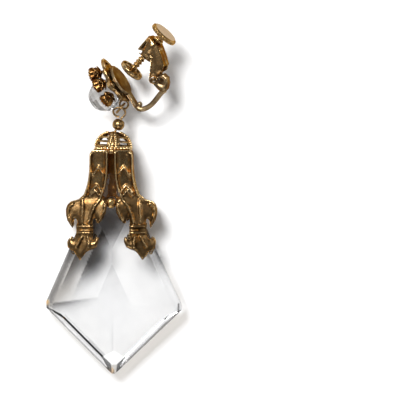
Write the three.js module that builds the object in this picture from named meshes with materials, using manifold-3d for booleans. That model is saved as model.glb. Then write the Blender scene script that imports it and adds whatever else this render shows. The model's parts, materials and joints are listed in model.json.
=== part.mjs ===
// A chandelier earring lying on a table: a large kite-shaped crystal in a cap of four fleur-de-lis
// arms, a pierced dome and a bead, hung from a flower cluster on a hinged screw clip.
// Millimetres, +Z up. The crystal points to -Y and the clip's thumb screw to +X and +Y.
import * as THREE from "three";
import { mergeVertices } from "three/addons/utils/BufferGeometryUtils.js";
import Module from "manifold-3d";

const wasm = await Module();
wasm.setup();

// Clearances and stock shared by all pieces
const gap = 0.3; // between two pieces that don't touch
const sheet = 0.8; // stamped and cast brass
const wireRadius = 0.26; // eye pin and links
const roundSides = 14; // round beads, rings and turned parts
const wireSides = 6;

// Crystal: origin in the middle of its widest line, x to the right, y to the hanging end, z to the front
const crystal = {
  width: 30.6,
  height: 44.4,
  girdleFront: 0.9, // the upright band round its edge, in front of and behind the middle
  girdleBack: 2.4,
  bevelRise: 1.5,
  upperBevelRun: 1.75,
  lowerBevelRun: 1.1,
  face: 4.1, // half the whole thickness
  upperTableRun: 9.95,
  lowerTableRun: 8.8,
  upperBackRun: 4.84,
  lowerBackRun: 1.65,
  peakShare: 0.29, // where the top facet meets the front ridge, up the height
  cornerChamfer: 0.4,
  holeShare: 0.518, // the drilled hole, up the height
  holeRadius: 0.75,
};
// Corners as shares of the width and the height, from the left corner anticlockwise
const CRYSTAL_CORNERS = [
  [-0.5, 0.007],
  [-0.004, -0.34],
  [0.5, -0.007],
  [0.06, 0.659],
  [-0.085, 0.659],
];

// Cap with four fleur-de-lis arms, in the crystal's frame
const cap = {
  centreX: -0.45,
  top: 34.7,
  armLength: 24.2,
  bend: 24.15, // height at which an arm turns from the straight shank to the fleur
  shankRise: 0.075, // how fast the shank leaves the crystal, towards the top
  relief: 0.38,
  reliefWidth: 0.46,
  sideWallDrop: 5.4,
  sideWallStart: 0.6, // below the lid's outer face
  sideWallX: 4.6, // its outer face, from the cap's middle
  poleHole: 1.6,
  tongueWidth: 1.5,
  tongueEyeRim: 0.6,
};
// The pin through the crystal's hole
const crystalPin = { headRadius: 1.15, headEdge: 0.2, headHeight: 0.5, stand: 1.3 };
// Arm outlines as shares of the arm's length: x out from the cap's middle, y down from its top
const SHANK_OUTLINE = [
  [0.027, 0],
  [0.168, 0],
  [0.186, 0.02],
  [0.196, 0.06],
  [0.2, 0.2],
  [0.211, 0.28],
  [0.228, 0.345],
  [0.252, 0.41],
  [0.282, 0.436],
  [0.085, 0.436],
  [0.068, 0.39],
  [0.05, 0.34],
  [0.035, 0.26],
  [0.027, 0.16],
];
const FLEUR_OUTLINE = [
  [0.085, 0.436],
  [0.282, 0.436],
  [0.306, 0.458],
  [0.34, 0.466],
  [0.375, 0.476],
  [0.4, 0.5],
  [0.414, 0.54],
  [0.412, 0.59],
  [0.4, 0.64],
  [0.376, 0.676],
  [0.35, 0.715],
  [0.345, 0.68],
  [0.348, 0.65],
  [0.336, 0.63],
  [0.318, 0.622],
  [0.308, 0.65],
  [0.31, 0.672],
  [0.318, 0.68],
  [0.318, 0.76],
  [0.322, 0.784],
  [0.34, 0.806],
  [0.352, 0.815],
  [0.362, 0.798],
  [0.386, 0.805],
  [0.402, 0.838],
  [0.396, 0.882],
  [0.368, 0.908],
  [0.342, 0.912],
  [0.326, 0.94],
  [0.285, 1],
  [0.262, 0.972],
  [0.232, 0.93],
  [0.205, 0.91],
  [0.17, 0.9],
  [0.135, 0.878],
  [0.114, 0.83],
  [0.116, 0.79],
  [0.138, 0.784],
  [0.152, 0.812],
  [0.17, 0.826],
  [0.168, 0.79],
  [0.162, 0.764],
  [0.162, 0.68],
  [0.168, 0.66],
  [0.165, 0.628],
  [0.15, 0.61],
  [0.136, 0.63],
  [0.13, 0.66],
  [0.113, 0.668],
  [0.076, 0.625],
  [0.048, 0.57],
  [0.038, 0.51],
  [0.052, 0.46],
];
// Raised lines on an arm, in the same shares
const SHANK_RIDGES = [
  [
    [0.04, 0.01],
    [0.04, 0.17],
    [0.048, 0.262],
    [0.062, 0.336],
    [0.08, 0.384],
    [0.096, 0.43],
  ],
  [
    [0.186, 0.036],
    [0.186, 0.2],
    [0.197, 0.284],
    [0.214, 0.35],
    [0.24, 0.42],
  ],
  [
    [0.072, 0.222],
    [0.114, 0.15],
    [0.172, 0.236],
  ],
  [
    [0.086, 0.38],
    [0.136, 0.318],
    [0.2, 0.388],
  ],
  [
    [0.112, 0.412],
    [0.142, 0.366],
    [0.2, 0.42],
  ],
];
const FLEUR_RIDGES = [
  [
    [0.1, 0.442],
    [0.146, 0.5],
    [0.18, 0.58],
    [0.205, 0.668],
  ],
  [
    [0.262, 0.442],
    [0.262, 0.56],
    [0.265, 0.668],
  ],
  [
    [0.165, 0.69],
    [0.315, 0.69],
  ],
  [
    [0.165, 0.748],
    [0.315, 0.748],
  ],
  [
    [0.218, 0.775],
    [0.202, 0.83],
    [0.208, 0.888],
  ],
  [
    [0.262, 0.775],
    [0.29, 0.83],
    [0.322, 0.888],
  ],
  [
    [0.06, 0.478],
    [0.055, 0.53],
    [0.075, 0.59],
    [0.108, 0.645],
  ],
  [
    [0.345, 0.482],
    [0.388, 0.52],
    [0.396, 0.58],
    [0.38, 0.64],
    [0.36, 0.686],
  ],
];

// Pierced dome on the cap
const dome = {
  centreX: -0.07,
  lean: -3, // degrees, to the right
  radius: 3.83,
  height: 3.4,
  shell: 0.6,
  ribWidth: 0.42,
  ribSpacing: 0.75,
  poleHole: 0.78,
  panels: 4,
  footRise: 0.2, // lets the leaning foot clear the cap
  footHeight: 0.5,
  footDepth: 0.75,
  footLip: 0.18,
};
// Rows of holes in the dome: height as a share of the dome's height, half width and half height
const DOME_ROWS = [
  [0.2, 0.38, 0.115],
  [0.5, 0.33, 0.09],
  [0.765, 0.22, 0.085],
];

// Bead and eye pin, placed in the drop's frame
const bead = { x: 1.05, y: 40.15, radius: 1.36, bore: 0.58 };
const pin = { lean: -26.6, headRadius: 0.95, headThickness: 0.4, tail: 3.6 };
// The loop of the eye pin, from the bead's centre
const PIN_LOOP = [
  [0.7, 1.4, 0],
  [1.1, 1.8, 0],
  [1.5, 2.5, 0],
  [1.2, 3.4, 0],
  [0.05, 3.75, 0],
  [-1.1, 3.15, 0],
  [-1, 2.35, 0],
  [-0.4, 1.85, 0],
  [0.25, 1.72, 0],
];

// Clip frame: x out of the back of the cluster, y up the worn earring, z across it
const clipTurn = 32; // degrees about the upright axis
const clipTilt = 18; // degrees that the thumb screw is raised off the table
const link = { radius: 1.31, x: 1.523, y: 43.793, z: -0.536, turn: -41, tilt: 2.9 };

// Flower plate and its stones
const flower = {
  discRadius: 2.4,
  ringRadius: 4.15,
  ringWidth: 0.9,
  sideTip: 6.2,
  topTip: 6.24,
  leafWidth: 3,
  topLeafWidth: 4.4,
  leafStart: 2,
  shortTip: 5.33, // of the leaves between the upright and level ones
  rim: 0.62,
  stemWidth: 0.9,
  eyeRadius: 1,
  eyeForward: 0.62,
  eyeDown: 4.79,
  eyeAcross: 0.687,
  seatInside: 1.6,
  seatOutside: 2.2,
  seatHeight: 0.45,
};
const stone = { radius: 3.6, forward: 4, y: -0.7, z: -1.2, tableShare: 0.5 };
const floret = { length: 3, rimRadius: 1.5, neckRadius: 0.5, beads: 7, beadRadius: 0.34 };
// Where each floret stands on the plate (y, z) and where its axis points (x, y, z)
const FLORETS = [
  { name: "floret_top", y: 3.61, z: 2.4, axis: [-2.86, 1.03, 0] },
  { name: "floret_middle", y: 1.4, z: 3.75, axis: [-2.8, 0.25, 0.25] },
  { name: "floret_lower", y: -1.75, z: 3.7, axis: [-1.9, -0.5, 1.5] },
];

// Clip base: disc, foot, hoop wire and bracket
const base = {
  discRadius: 3.5,
  thickness: 0.65,
  footWidth: 2.2,
  footLength: 6.7,
  bossRadius: 0.85,
  wireRadius: 0.6,
  stubRadius: 0.62,
  stubX: 2.25,
  stubY: -6.63,
  stubRoot: 0.4,
  bossStart: 0.05,
  bracketHalfWidth: 1.2,
  earThickness: 0.55,
  wall: 0.5,
};
// Hinge pin's place in the clip frame, and the hoop wire from the foot to the bracket
const hinge = { x: 8.5, y: -3.8, pinRadius: 0.38 };
// as shares of the hinge pin's distance from the plate
const HOOP_PATH = [
  [0.167, -0.73],
  [0.167, -0.83],
  [0.22, -0.905],
  [0.34, -0.95],
  [0.51, -0.955],
  [0.68, -0.915],
  [0.84, -0.86],
  [0.95, -0.83],
  [1.05, -0.825],
];
// Outline of the bracket's ears, from the hinge pin, as shares of the bracket's depth
const bracketDepth = 3.5;
const EAR_OUTLINE = [
  [-0.28, 0.05],
  [-0.22, -0.35],
  [-0.16, -0.72],
  [0, -1],
  [0.26, -0.97],
  [0.56, -0.7],
  [0.72, -0.38],
  [0.6, -0.02],
  [0.26, 0.1],
  [0, 0.28],
];

// Paddle frame: origin on the hinge pin, x along the screw towards its head, y away from the hinge
const paddle = {
  closing: 14.4, // degrees that the screw leans from the base's own normal
  axisHeight: 5.19,
  halfWidth: 2.1,
  flange: 0.55,
  sleeveStart: 2,
  sleeveRadius: 2.15,
  sleeveWall: 0.42,
  faceX: 6.2,
  nutLength: 1.1,
  windowWidth: 2.9, // the opening on the sleeve's near upper side
  windowHeight: 3,
  windowX: 3.75,
  windowOut: 1.6,
  windowTurn: 14, // degrees
  beads: 8,
  beadRadius: 0.3,
};
const FLANGE_OUTLINE = [
  [-0.04, 0.2],
  [0.65, 0.71],
  [0.92, 0.99],
  [1.14, 1.23],
  [1.17, 1.37],
  [1.19, 1.37],
  [1.19, 0.83],
  [0.98, 0.42],
  [0.74, 0.06],
  [0.52, -0.06],
  [0.29, 0],
  [0.17, -0.1],
  [0, -0.2],
  [-0.14, -0.14],
  [-0.2, 0],
  [-0.16, 0.12],
];
const BACK_OUTLINE = [
  [1.19, 1.37],
  [1.19, 0.82],
  [0.99, 0.4],
  [0.75, 0.03],
  [0.69, 0.08],
  [0.91, 0.42],
  [1.1, 0.85],
  [1.1, 1.37],
];

// Thumb screw and pad, on the screw's own axis from the paddle's origin
const screw = {
  tip: -2.35,
  pitch: 0.8,
  major: 0.8,
  minor: 0.56,
  collarRadius: 1.15,
  collarStart: 6.5,
  neckRadius: 0.8,
  discStart: 8.15,
  discThickness: 1,
  discRadius: 3.2,
  knurls: 28,
  knurlDepth: 0.16,
  crest: 0.1, // half the thread's crest, as a share of the pitch
  root: 0.35, // from a crest's middle to the foot of its flank, as a share of the pitch
  crownStart: 0.2, // the smooth crown inside the knurled edge
  crownEdge: 0.25,
  collarHeight: 0.5,
  neckFlare: 0.65, // from the collar's top to the widest of the neck
};
const pad = {
  front: -3.15,
  radius: 2.8,
  floor: 0.45,
  rimHeight: 1.15,
  rimWidth: 0.5,
  rimRound: 0.15,
  bevel: 0.5, // round the ear side's edge
  fillet: 0.4,
  hub: 0.35,
  hubWall: 0.4,
};

const brass = { color: 0x6b5430, roughness: 0.38, metalness: 1 };
const paleBrass = { color: 0xb79a63, roughness: 0.34, metalness: 1 };
const clear = { color: 0xf2f5f6, roughness: 0.04, metalness: 0, transparent: true, opacity: 0.35 };

const radians = THREE.MathUtils.degToRad;

// A closed three.js geometry as a solid, its faces turned outwards
function solidOf(geometry) {
  const bare = geometry.index ? geometry.toNonIndexed() : geometry.clone();
  bare.deleteAttribute("normal");
  bare.deleteAttribute("uv");
  const merged = mergeVertices(bare, 1e-4);
  const corners = merged.index.array;
  const triangles = [];
  for (let i = 0; i < corners.length; i += 3) {
    const [a, b, c] = [corners[i], corners[i + 1], corners[i + 2]];
    if (a !== b && b !== c && a !== c) triangles.push(a, b, c);
  }
  const build = (list) =>
    new wasm.Manifold(
      new wasm.Mesh({
        numProp: 3,
        vertProperties: new Float32Array(merged.attributes.position.array),
        triVerts: new Uint32Array(list),
      }),
    );
  const made = build(triangles);
  return made.volume() < 0 ? build(triangles.reverse()) : made;
}

function joined(solids) {
  return solids.reduce((whole, next) => whole.add(next));
}

function cut(solid, cutters) {
  return cutters.reduce((left, next) => left.subtract(next), solid);
}

function moved(solid, matrix) {
  return solid.transform([...matrix.elements]);
}

function mirrored(solid, x = 1, y = 1, z = 1) {
  return moved(solid, new THREE.Matrix4().makeScale(x, y, z));
}

// A named mesh from a solid
function piece(name, solid, look) {
  const mesh = solid.getMesh();
  const geometry = new THREE.BufferGeometry();
  geometry.setAttribute("position", new THREE.BufferAttribute(mesh.vertProperties, 3));
  geometry.setIndex(new THREE.BufferAttribute(mesh.triVerts, 1));
  geometry.computeVertexNormals();
  const made = new THREE.Mesh(geometry, new THREE.MeshStandardMaterial({ ...look, flatShading: true }));
  made.name = name;
  return made;
}

// A closed outline, always anticlockwise so that holes in it can run either way
function shapeOf(points) {
  const corners = points.map(([x, y]) => new THREE.Vector2(x, y));
  return new THREE.Shape(THREE.ShapeUtils.isClockWise(corners) ? corners.reverse() : corners);
}

// A flat outline in x and y, drawn out from one z to another
function prism(points, from, to, holes = []) {
  const shape = shapeOf(points);
  shape.holes = holes.map((hole) => new THREE.Path(hole.map(([x, y]) => new THREE.Vector2(x, y))));
  const geometry = new THREE.ExtrudeGeometry(shape, { depth: to - from, bevelEnabled: false });
  geometry.translate(0, 0, from);
  return solidOf(geometry);
}

function ringPoints(x, y, radius, sides = roundSides) {
  return Array.from({ length: sides }, (_, i) => {
    const angle = (2 * Math.PI * i) / sides;
    return [x + radius * Math.cos(angle), y + radius * Math.sin(angle)];
  });
}

// A closed profile of radius and height turned about a line along +X that starts at the origin
function turned(profile, sides = roundSides) {
  const points = [...profile, profile[0]].map(([radius, along]) => new THREE.Vector2(radius, along));
  const geometry = new THREE.LatheGeometry(points, sides);
  geometry.rotateZ(-Math.PI / 2);
  return solidOf(geometry);
}

function rod(radius, from, to, sides = roundSides) {
  return turned(
    [
      [0, from],
      [radius, from],
      [radius, to],
      [0, to],
    ],
    sides,
  );
}

// A round wire along a smooth line through the points
function wire(points, radius, steps, sides = wireSides) {
  const line = new THREE.CatmullRomCurve3(points.map((point) => new THREE.Vector3(...point)));
  const geometry = new THREE.ExtrudeGeometry(shapeOf(ringPoints(0, 0, radius, sides)), {
    steps,
    extrudePath: line,
  });
  return solidOf(geometry);
}

function ring(radius, thickness, sides = roundSides) {
  return solidOf(new THREE.TorusGeometry(radius, thickness, wireSides, sides));
}

function ball(radius, x, y, z, sides = roundSides) {
  const geometry = new THREE.SphereGeometry(radius, sides, Math.round(sides / 2));
  geometry.translate(x, y, z);
  return solidOf(geometry);
}

function boxAt(width, height, depth, x, y, z) {
  return solidOf(new THREE.BoxGeometry(width, height, depth).translate(x, y, z));
}

// A turn that takes +X to the given direction, then a shift
function alongX(direction, origin = [0, 0, 0]) {
  const aim = new THREE.Vector3(...direction).normalize();
  const turn = new THREE.Quaternion().setFromUnitVectors(new THREE.Vector3(1, 0, 0), aim);
  return new THREE.Matrix4().compose(new THREE.Vector3(...origin), turn, new THREE.Vector3(1, 1, 1));
}

// The outline of a band of constant width along a line of points
function band(points, width) {
  const sides = [[], []];
  points.forEach(([x, y], i) => {
    const before = points[Math.max(i - 1, 0)];
    const after = points[Math.min(i + 1, points.length - 1)];
    const length = Math.hypot(after[0] - before[0], after[1] - before[1]);
    const nx = (-(after[1] - before[1]) / length) * (width / 2);
    const ny = ((after[0] - before[0]) / length) * (width / 2);
    sides[0].push([x + nx, y + ny]);
    sides[1].unshift([x - nx, y - ny]);
  });
  return [...sides[0], ...sides[1]];
}

// Everything beyond the plane through three points, on the side away from the crystal's middle
function beyond(a, b, c) {
  const corner = new THREE.Vector3(...a);
  const normal = new THREE.Vector3(...b)
    .sub(corner)
    .cross(new THREE.Vector3(...c).sub(corner))
    .normalize();
  if (normal.dot(corner) < 0) normal.negate();
  const size = 3 * crystal.height;
  const block = solidOf(new THREE.BoxGeometry(size, size, size).translate(size / 2, 0, 0));
  return moved(block, alongX(normal.toArray(), a));
}

const crystalCorners = CRYSTAL_CORNERS.map(([x, y]) => [x * crystal.width, y * crystal.height]);

// One side of the crystal's outline: its ends and a point a given run inside it
function crystalSide(index) {
  const start = crystalCorners[index];
  const end = crystalCorners[(index + 1) % crystalCorners.length];
  const length = Math.hypot(end[0] - start[0], end[1] - start[1]);
  const inward = [-(end[1] - start[1]) / length, (end[0] - start[0]) / length];
  const inside = (run) => [start[0] + inward[0] * run, start[1] + inward[1] * run];
  return { start, end, inside };
}

// A facet along one side that climbs from one inset and height to another
function sideFacet(index, fromRun, fromZ, toRun, toZ) {
  const { start, end, inside } = crystalSide(index);
  const low = inside(fromRun);
  const shift = [low[0] - start[0], low[1] - start[1]];
  return beyond(
    [...low, fromZ],
    [end[0] + shift[0], end[1] + shift[1], fromZ],
    [...inside(toRun), toZ],
  );
}

function cornerFacets(index) {
  const [x, y] = crystalCorners[index];
  const length = Math.hypot(x, y);
  const out = [x / length, y / length];
  const across = [-out[1], out[0]];
  const at = (inset, side, z) => [
    x - out[0] * inset + across[0] * side,
    y - out[1] * inset + across[1] * side,
    z,
  ];
  const chamfer = crystal.cornerChamfer;
  const front = crystal.girdleFront;
  const back = -crystal.girdleBack;
  return [
    beyond(at(chamfer, 0, 0), at(chamfer, 1, 0), at(chamfer, 0, 1)),
    beyond(at(chamfer, 0, front), at(chamfer, 1, front), at(4 * chamfer, 0, front + 1.2 * chamfer)),
    beyond(at(chamfer, 0, back), at(chamfer, 1, back), at(4 * chamfer, 0, back - 2 * chamfer)),
  ];
}

function makeCrystal() {
  const rim = crystal.girdleFront + crystal.bevelRise;
  const upperSides = [4, 2];
  const lowerSides = [0, 1];
  const facets = [];
  for (const side of upperSides) {
    facets.push(sideFacet(side, 0, crystal.girdleFront, crystal.upperBevelRun, rim));
    facets.push(sideFacet(side, crystal.upperBevelRun, rim, crystal.upperTableRun, crystal.face));
    facets.push(sideFacet(side, 0, -crystal.girdleBack, crystal.upperBackRun, -crystal.face));
  }
  for (const side of lowerSides) {
    facets.push(sideFacet(side, 0, crystal.girdleFront, crystal.lowerBevelRun, rim));
    facets.push(sideFacet(side, crystal.lowerBevelRun, rim, crystal.lowerTableRun, crystal.face));
    facets.push(sideFacet(side, 0, -crystal.girdleBack, crystal.lowerBackRun, -crystal.face));
  }
  const topRun = (CRYSTAL_CORNERS[3][1] - crystal.peakShare) * crystal.height;
  const peakZ = crystal.face - 0.26;
  facets.push(sideFacet(3, 0, crystal.girdleFront, topRun, peakZ));
  facets.push(sideFacet(3, 0, -crystal.girdleBack, topRun / 3, -crystal.face));
  for (const corner of [0, 1, 2]) facets.push(...cornerFacets(corner));
  const blank = prism(crystalCorners, -crystal.face, crystal.face);
  const hole = prism(
    ringPoints(cap.centreX, crystal.holeShare * crystal.height, crystal.holeRadius, 10),
    -2 * crystal.face,
    2 * crystal.face,
  );
  return piece("crystal_drop", cut(blank, [...facets, hole]), clear);
}

// Height of an arm's inner face over the crystal's middle plane, for the front or the back arms
function armHeight(x, y, back) {
  const { start, inside } = crystalSide(4);
  const step = inside(1);
  const inward = [step[0] - start[0], step[1] - start[1]];
  const mirrorX = x + cap.centreX;
  const lowY = Math.min(y, cap.bend);
  const run = (mirrorX - start[0]) * inward[0] + (lowY - start[1]) * inward[1];
  const rise = Math.max(y - cap.bend, 0) * cap.shankRise;
  if (back) {
    const slope = (crystal.face - crystal.girdleBack) / crystal.upperBackRun;
    return crystal.girdleBack + gap + slope * run + rise;
  }
  const rim = crystal.girdleFront + crystal.bevelRise;
  const slope = (crystal.face - rim) / (crystal.upperTableRun - crystal.upperBevelRun);
  return rim + gap + slope * (run - crystal.upperBevelRun) + rise;
}

// A plate of the left arm: the outline laid on the arm's sloping face
function armPlate(outline, from, to, back) {
  const points = outline.map(([x, y]) => [-x * cap.armLength, cap.top - y * cap.armLength]);
  const geometry = new THREE.ExtrudeGeometry(shapeOf(points), { depth: to - from, bevelEnabled: false });
  const position = geometry.attributes.position;
  for (let i = 0; i < position.count; i++) {
    const lift = armHeight(position.getX(i), position.getY(i), back);
    position.setZ(i, position.getZ(i) + from + lift);
  }
  return solidOf(geometry);
}

function arm(back) {
  const parts = [
    armPlate(SHANK_OUTLINE, 0, sheet, back),
    armPlate(FLEUR_OUTLINE, 0, sheet, back),
  ];
  const share = cap.reliefWidth / cap.armLength;
  for (const line of [...SHANK_RIDGES, ...FLEUR_RIDGES]) {
    parts.push(armPlate(band(line, share), sheet / 2, sheet + cap.relief, back));
  }
  return joined(parts);
}

function makeCap() {
  const front = arm(false);
  const back = mirrored(arm(true), 1, 1, -1);
  const half = front.add(back);
  const topOuter = SHANK_OUTLINE[1][0] * cap.armLength;
  const frontTop = armHeight(-topOuter, cap.top, false) + sheet;
  const backTop = armHeight(-topOuter, cap.top, true) + sheet;
  const depth = frontTop + backTop;
  const middle = (frontTop - backTop) / 2;
  const lid = boxAt(2 * topOuter, sheet, depth, 0, cap.top - sheet / 2, middle);
  const wallX = cap.sideWallX;
  const wall = boxAt(sheet, cap.sideWallDrop, depth - sheet, -wallX + sheet / 2, 0, middle);
  const sideWall = wall.translate([0, cap.top - cap.sideWallDrop / 2 - cap.sideWallStart, 0]);
  const pinY = crystal.holeShare * crystal.height;
  const tongueTop = -crystal.face - gap;
  const tongueLength = cap.top - pinY + cap.tongueWidth / 2;
  const tongue = boxAt(
    cap.tongueWidth,
    tongueLength,
    sheet,
    0,
    cap.top - tongueLength / 2,
    tongueTop - sheet / 2,
  );
  const tongueEye = prism(
    ringPoints(0, pinY, crystal.holeRadius + cap.tongueEyeRim),
    tongueTop - sheet,
    tongueTop,
  );
  const tongueRoot = boxAt(cap.tongueWidth, sheet, 2 * sheet, 0, cap.top - sheet / 2, tongueTop + sheet / 2);
  const walls = [sideWall, mirrored(sideWall, -1)];
  const whole = joined([half, mirrored(half, -1), lid, ...walls, tongue, tongueEye, tongueRoot]);
  const pole = new THREE.CylinderGeometry(cap.poleHole, cap.poleHole, 4 * sheet, roundSides);
  const poleHole = solidOf(pole.translate(0, cap.top, 0));
  const pinHole = prism(ringPoints(0, pinY, crystal.holeRadius, 10), -2 * crystal.face, -crystal.face);
  const bored = cut(whole, [poleHole, pinHole]);
  return piece("fleur_cap", bored.translate([cap.centreX, 0, 0]), brass);
}

function makeCrystalPin() {
  const front = crystal.girdleFront + gap + crystalPin.stand;
  const back = -crystal.face - gap - sheet;
  const headRadius = crystalPin.headRadius;
  const pinShape = turned(
    [
      [0, back],
      [crystal.holeRadius - gap, back],
      [crystal.holeRadius - gap, front],
      [headRadius, front],
      [headRadius, front + crystalPin.headEdge],
      [headRadius / 2, front + crystalPin.headHeight],
      [0, front + crystalPin.headHeight],
    ],
    12,
  );
  const placed = moved(pinShape, alongX([0, 0, 1], [cap.centreX, crystal.holeShare * crystal.height, 0]));
  return piece("crystal_pin", placed, paleBrass);
}

function domeRadius(share) {
  return dome.radius * Math.sqrt(1 - Math.min(share, 1) ** 2.2);
}

// The dome is turned about its own axis, with that axis along +X until it is placed
function makeDome() {
  const levels = [0, 0.3, 0.55, 0.77, 0.92];
  const outer = levels.map((share) => [domeRadius(share), share * dome.height]);
  const inner = levels.map((share) => [
    Math.max(domeRadius(share) - dome.shell, dome.poleHole),
    Math.max(share * dome.height - dome.shell * share, 0),
  ]);
  const profile = [...outer, [dome.poleHole, dome.height], ...inner.reverse()];
  const cutters = [];
  const panelTurn = (2 * Math.PI) / dome.panels;
  for (let panel = 0; panel < dome.panels; panel++) {
    const turn = new THREE.Matrix4().makeRotationX(panelTurn * (panel + 0.5));
    for (const [share, halfWidth, halfHeight] of DOME_ROWS) {
      const opening = boxAt(
        2 * halfHeight * dome.height,
        2 * halfWidth * dome.radius,
        dome.radius,
        share * dome.height,
        0,
        0.735 * dome.radius,
      );
      cutters.push(moved(opening, turn));
    }
  }
  const pierced = cut(turned(profile, 20), cutters);
  const ribs = [];
  for (let panel = 0; panel < dome.panels; panel++) {
    for (const side of [-1, 1]) {
      const line = levels.map((share) => {
        const radius = domeRadius(share) - dome.ribWidth / 4;
        return [share * dome.height + dome.ribWidth / 2, side * dome.ribSpacing * (1 - 0.75 * share), radius];
      });
      const turn = new THREE.Matrix4().makeRotationX(panelTurn * panel);
      ribs.push(moved(wire(line, dome.ribWidth / 2, 6, 5), turn));
    }
  }
  const foot = turned([
    [dome.radius - dome.footDepth, 0],
    [dome.radius, 0],
    [dome.radius + dome.footLip, dome.footHeight / 2],
    [dome.radius, dome.footHeight],
    [dome.radius - dome.footDepth, dome.footHeight],
  ], 24);
  const upright = moved(joined([pierced, ...ribs, foot]), alongX([0, 1, 0]));
  const lean = new THREE.Matrix4().makeRotationZ(radians(dome.lean));
  const leaning = moved(upright, lean).translate([dome.centreX, cap.top + gap + dome.footRise, 0]);
  return piece("filigree_dome", leaning, brass);
}

function beadAxis() {
  return [Math.sin(radians(-pin.lean)), Math.cos(radians(-pin.lean)), 0];
}

function makeBead() {
  const rows = 7;
  const profile = [];
  const flat = Math.asin(bead.bore / bead.radius);
  for (let row = 0; row <= rows; row++) {
    const angle = flat + ((Math.PI - 2 * flat) * row) / rows;
    profile.push([bead.radius * Math.sin(angle), -bead.radius * Math.cos(angle)]);
  }
  const round = moved(turned(profile), alongX(beadAxis(), [bead.x, bead.y, 0]));
  return piece("link_bead", round, brass);
}

function makeEyePin() {
  const stem = rod(wireRadius, -pin.tail, bead.radius + 0.4, wireSides + 2);
  const head = rod(pin.headRadius, -pin.tail - pin.headThickness, -pin.tail, roundSides);
  const shank = moved(joined([stem, head]), alongX(beadAxis()));
  const loop = wire(PIN_LOOP, wireRadius, 26);
  return piece("eye_pin", shank.add(loop).translate([bead.x, bead.y, 0]), brass);
}

function makeLinkRing() {
  const upright = new THREE.Euler(0, Math.PI / 2 + radians(link.tilt), radians(link.turn), "ZYX");
  const placed = moved(ring(link.radius, wireRadius), new THREE.Matrix4().makeRotationFromEuler(upright));
  return piece("link_ring", placed.translate([link.x, link.y, link.z]), brass);
}

// A pointed leaf along +X, from its start to its tip
function leafPoints(start, tip, width) {
  const steps = 5;
  const points = [];
  for (let side = 1; side >= -1; side -= 2) {
    for (let i = 0; i < steps; i++) {
      const share = side > 0 ? i / steps : 1 - i / steps;
      const bulge = Math.sin(Math.PI * Math.min(share * 0.85 + 0.12, 1));
      points.push([start + (tip - start) * share, (side * width * bulge) / 2]);
    }
  }
  return points;
}

function leaf(tip, width, degrees) {
  const rim = flower.rim;
  const turn = new THREE.Matrix4().makeRotationZ(radians(degrees));
  const outline = leafPoints(flower.leafStart, tip, width);
  const opening = leafPoints(flower.leafStart + 2.1 * rim, tip - 1.6 * rim, width - 2.2 * rim);
  return moved(prism(outline, 0, sheet, [opening]), turn);
}

// The plate is drawn with y to its right and z up, then stood up so that its thickness runs along +X
function makeFlowerPlate() {
  const leaves = [leaf(flower.topTip, flower.topLeafWidth, 0)];
  for (const degrees of [45, 90, 135, 225, 270, 315]) {
    const tip = degrees % 90 === 0 ? flower.sideTip : flower.shortTip;
    leaves.push(leaf(tip, flower.leafWidth, degrees));
  }
  const disc = prism(ringPoints(0, 0, flower.discRadius, 20), 0, sheet);
  const inner = ringPoints(0, 0, flower.ringRadius - flower.ringWidth / 2, 24);
  const hoop = prism(ringPoints(0, 0, flower.ringRadius + flower.ringWidth / 2, 24), 0, sheet, [inner]);
  const stem = boxAt(flower.eyeDown, flower.stemWidth, sheet, -flower.eyeDown / 2, 0, sheet / 2);
  const rivetHole = prism(ringPoints(0, 0, base.bossRadius + gap, 12), -sheet, 2 * sheet);
  const seatCentre = [stone.y, stone.z];
  const seat = prism(
    ringPoints(...seatCentre, flower.seatOutside, 16),
    -flower.seatHeight,
    sheet / 2,
    [ringPoints(...seatCentre, flower.seatInside, 16)],
  );
  const flat = cut(joined([...leaves, disc, hoop, stem, seat]), [rivetHole]);
  // x of the flat drawing becomes y, y becomes z and z becomes x
  const stand = new THREE.Matrix4().makeBasis(
    new THREE.Vector3(0, 1, 0),
    new THREE.Vector3(0, 0, 1),
    new THREE.Vector3(1, 0, 0),
  );
  const eyeCentre = [-flower.eyeForward, -flower.eyeDown, flower.eyeAcross];
  const eye = ring(flower.eyeRadius, wireRadius).translate(eyeCentre);
  const eyeEdge = flower.eyeRadius - flower.eyeForward;
  const root = wire(
    [
      [eyeEdge, -flower.eyeDown, flower.eyeAcross],
      [sheet / 2, 0.3 - flower.eyeDown, 0],
    ],
    wireRadius,
    2,
  );
  return piece("flower_plate", joined([moved(flat, stand), eye, root]), brass);
}

function makeStone() {
  const rings = [
    [0, -1],
    [0.42, -0.907],
    [0.76, -0.65],
    [0.96, -0.28],
    [0.96, 0.28],
    [0.78, 0.62],
    [stone.tableShare, 0.86],
    [0, 0.86],
  ];
  const profile = rings.map(([share, along]) => [share * stone.radius, along * stone.radius]);
  const cutStone = moved(turned(profile, 12), alongX([-1, 0, 0]));
  return piece("large_stone", cutStone.translate([-stone.forward, stone.y, stone.z]), clear);
}

function makeFloret({ name, y, z, axis }) {
  const rim = floret.rimRadius;
  const long = floret.length;
  const cup = turned([
    [0, 0],
    [floret.neckRadius, 0],
    [floret.neckRadius, 0.18 * long],
    [0.8 * rim, 0.38 * long],
    [0.78 * rim, 0.5 * long],
    [rim, 0.76 * long],
    [rim, 0.86 * long],
    [0.8 * rim, 0.88 * long],
    [0.45 * rim, 0.98 * long],
    [0, long],
  ]);
  const parts = [cup];
  for (let i = 0; i < floret.beads; i++) {
    const angle = (2 * Math.PI * i) / floret.beads;
    const reach = 0.8 * rim;
    parts.push(ball(floret.beadRadius, 0.88 * long, reach * Math.cos(angle), reach * Math.sin(angle), 7));
  }
  const aim = new THREE.Vector3(...axis).normalize();
  const standOff = gap + floret.neckRadius * Math.hypot(aim.y, aim.z);
  const whole = moved(joined(parts), alongX(axis, [-standOff, y, z]));
  return piece(name, whole, brass);
}

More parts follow.
